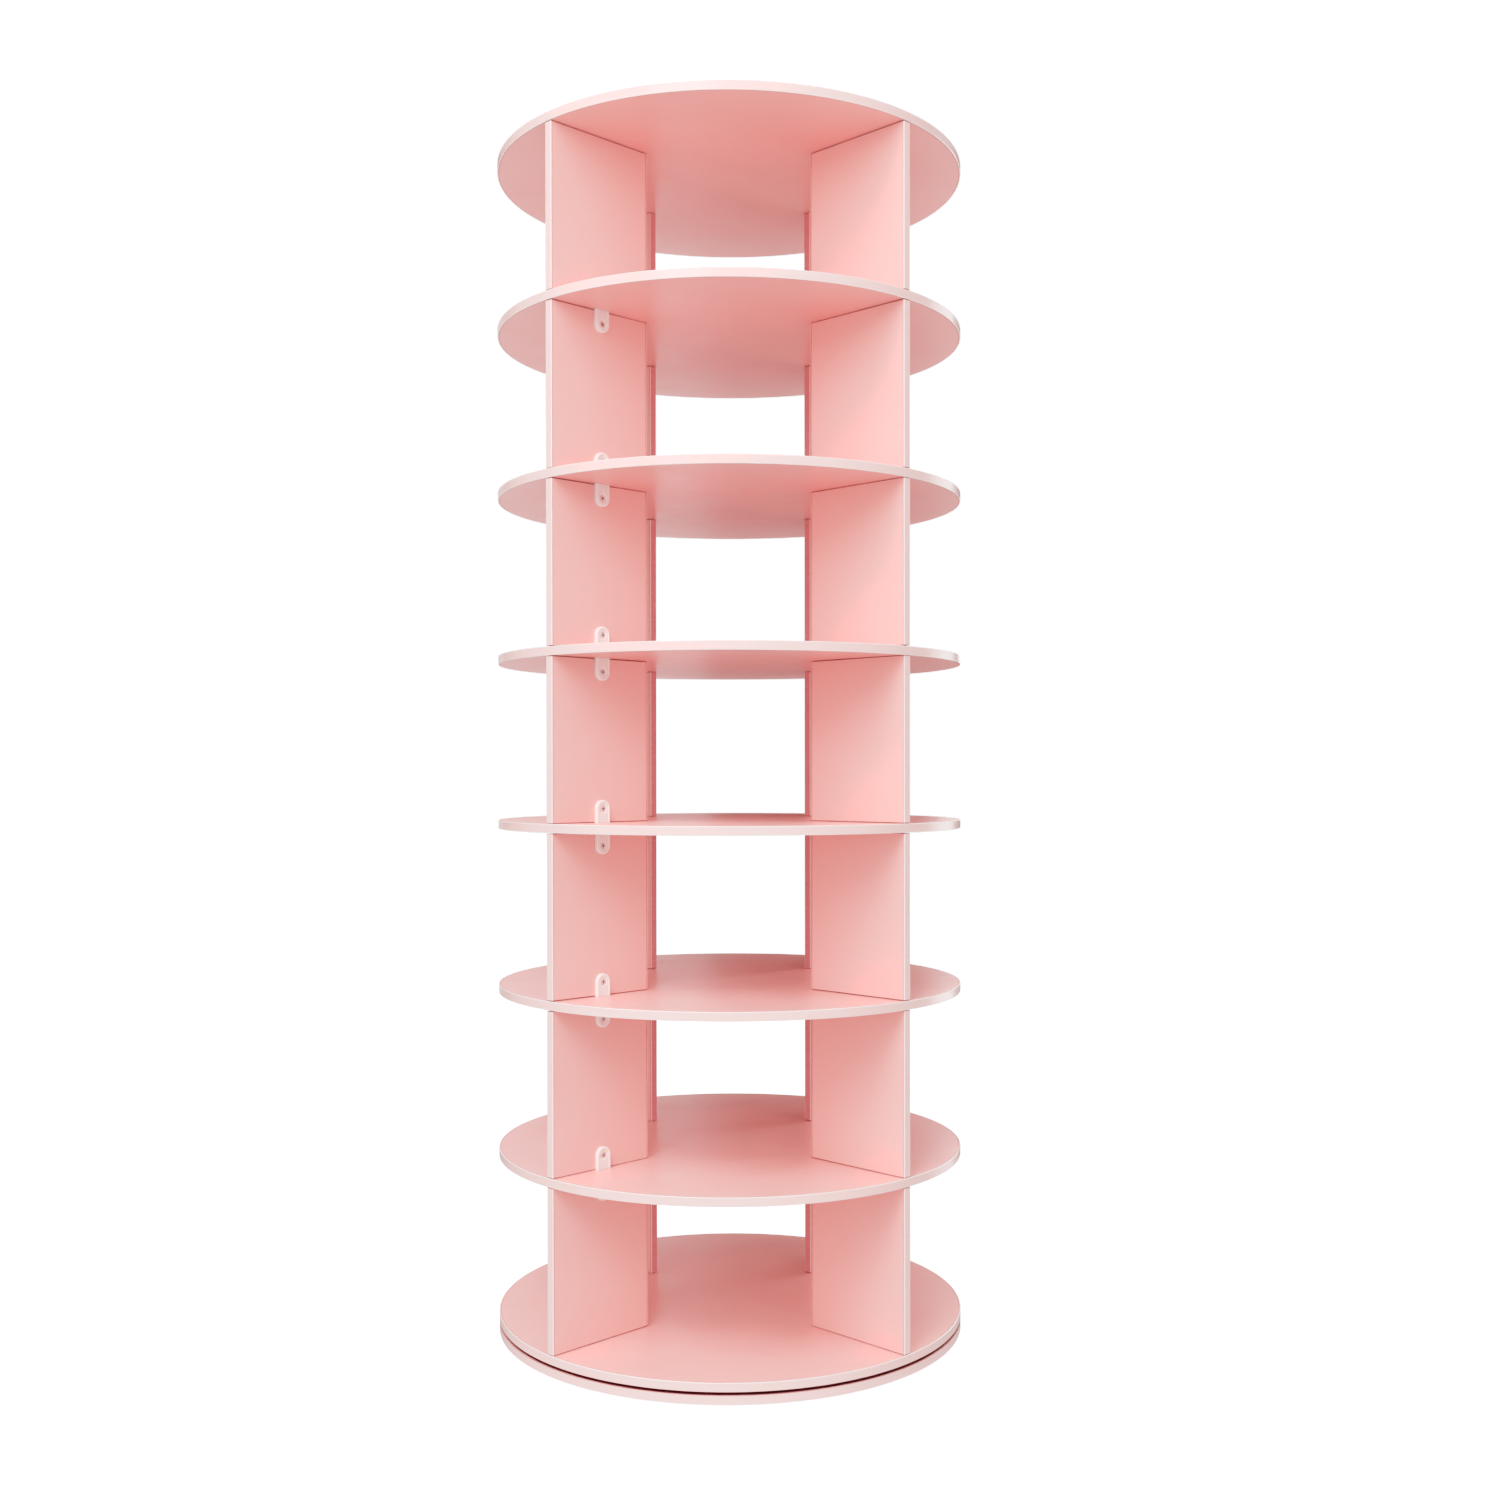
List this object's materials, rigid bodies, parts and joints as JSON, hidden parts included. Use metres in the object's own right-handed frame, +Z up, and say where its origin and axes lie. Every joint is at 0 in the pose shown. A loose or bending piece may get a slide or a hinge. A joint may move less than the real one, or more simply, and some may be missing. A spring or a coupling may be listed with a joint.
{
  "type": "rotating shoe tower",
  "caption": "Tall round shoe tower of open tiers between flat boards with radial upright panels, turning on a hidden ball bearing over a fixed round base.",
  "frame": {"origin": "on the floor under the turning axis, at the middle of the rubber feet's undersides", "axes": "+Z up along the turning axis, -Y towards the front, +X to the right seen from the front; the upright panels stand on the diagonals"},
  "size_m": [0.5, 0.5, 1.249],
  "materials": {
    "pink_board": "satin",
    "plate_plastic": "satin",
    "cap_plastic": "matte",
    "screw_steel": "satin",
    "race_steel": "satin",
    "ball_steel": "polished",
    "cage_nylon": "matte",
    "foot_rubber": "matte"
  },
  "bodies": {
    "base": {"base_board": "pink_board", "lower_race": "race_steel", "lower_race_screws": "screw_steel", "rubber_feet": "foot_rubber"},
    "ball_ring": {"ball_cage": "cage_nylon", "bearing_balls": "ball_steel"},
    "tower": {"joining_plates_shelf_1": "plate_plastic", "joining_plates_shelf_2": "plate_plastic", "joining_plates_shelf_3": "plate_plastic", "joining_plates_shelf_4": "plate_plastic", "joining_plates_shelf_5": "plate_plastic", "joining_plates_shelf_6": "plate_plastic", "panel_tier_1_front_left": "pink_board", "panel_tier_1_front_right": "pink_board", "panel_tier_1_rear_left": "pink_board", "panel_tier_1_rear_right": "pink_board", "panel_tier_2_front_left": "pink_board", "panel_tier_2_front_right": "pink_board", "panel_tier_2_rear_left": "pink_board", "panel_tier_2_rear_right": "pink_board", "panel_tier_3_front_left": "pink_board", "panel_tier_3_front_right": "pink_board", "panel_tier_3_rear_left": "pink_board", "panel_tier_3_rear_right": "pink_board", "panel_tier_4_front_left": "pink_board", "panel_tier_4_front_right": "pink_board", "panel_tier_4_rear_left": "pink_board", "panel_tier_4_rear_right": "pink_board", "panel_tier_5_front_left": "pink_board", "panel_tier_5_front_right": "pink_board", "panel_tier_5_rear_left": "pink_board", "panel_tier_5_rear_right": "pink_board", "panel_tier_6_front_left": "pink_board", "panel_tier_6_front_right": "pink_board", "panel_tier_6_rear_left": "pink_board", "panel_tier_6_rear_right": "pink_board", "panel_tier_7_front_left": "pink_board", "panel_tier_7_front_right": "pink_board", "panel_tier_7_rear_left": "pink_board", "panel_tier_7_rear_right": "pink_board", "plate_screws": "screw_steel", "screw_caps": "cap_plastic", "shelf_1": "pink_board", "shelf_2": "pink_board", "shelf_3": "pink_board", "shelf_4": "pink_board", "shelf_5": "pink_board", "shelf_6": "pink_board", "top_board": "pink_board", "top_screws": "screw_steel", "turntable_board": "pink_board", "turntable_screws": "screw_steel", "upper_race": "race_steel", "upper_race_screws": "screw_steel"}
  },
  "joints": [
    {"name": "turntable_spin", "type": "hinge", "parent": "base", "child": "tower", "pos_m": [0, 0, 0.0135], "axis": [0, 0, 1], "continuous": true},
    {"name": "ball_ring_spin", "type": "hinge", "parent": "base", "child": "ball_ring", "pos_m": [0, 0, 0.0135], "axis": [0, 0, 1], "continuous": true}
  ],
  "couplings": [
    {"joint": "ball_ring_spin", "follows": "turntable_spin", "ratio": 0.5}
  ]
}
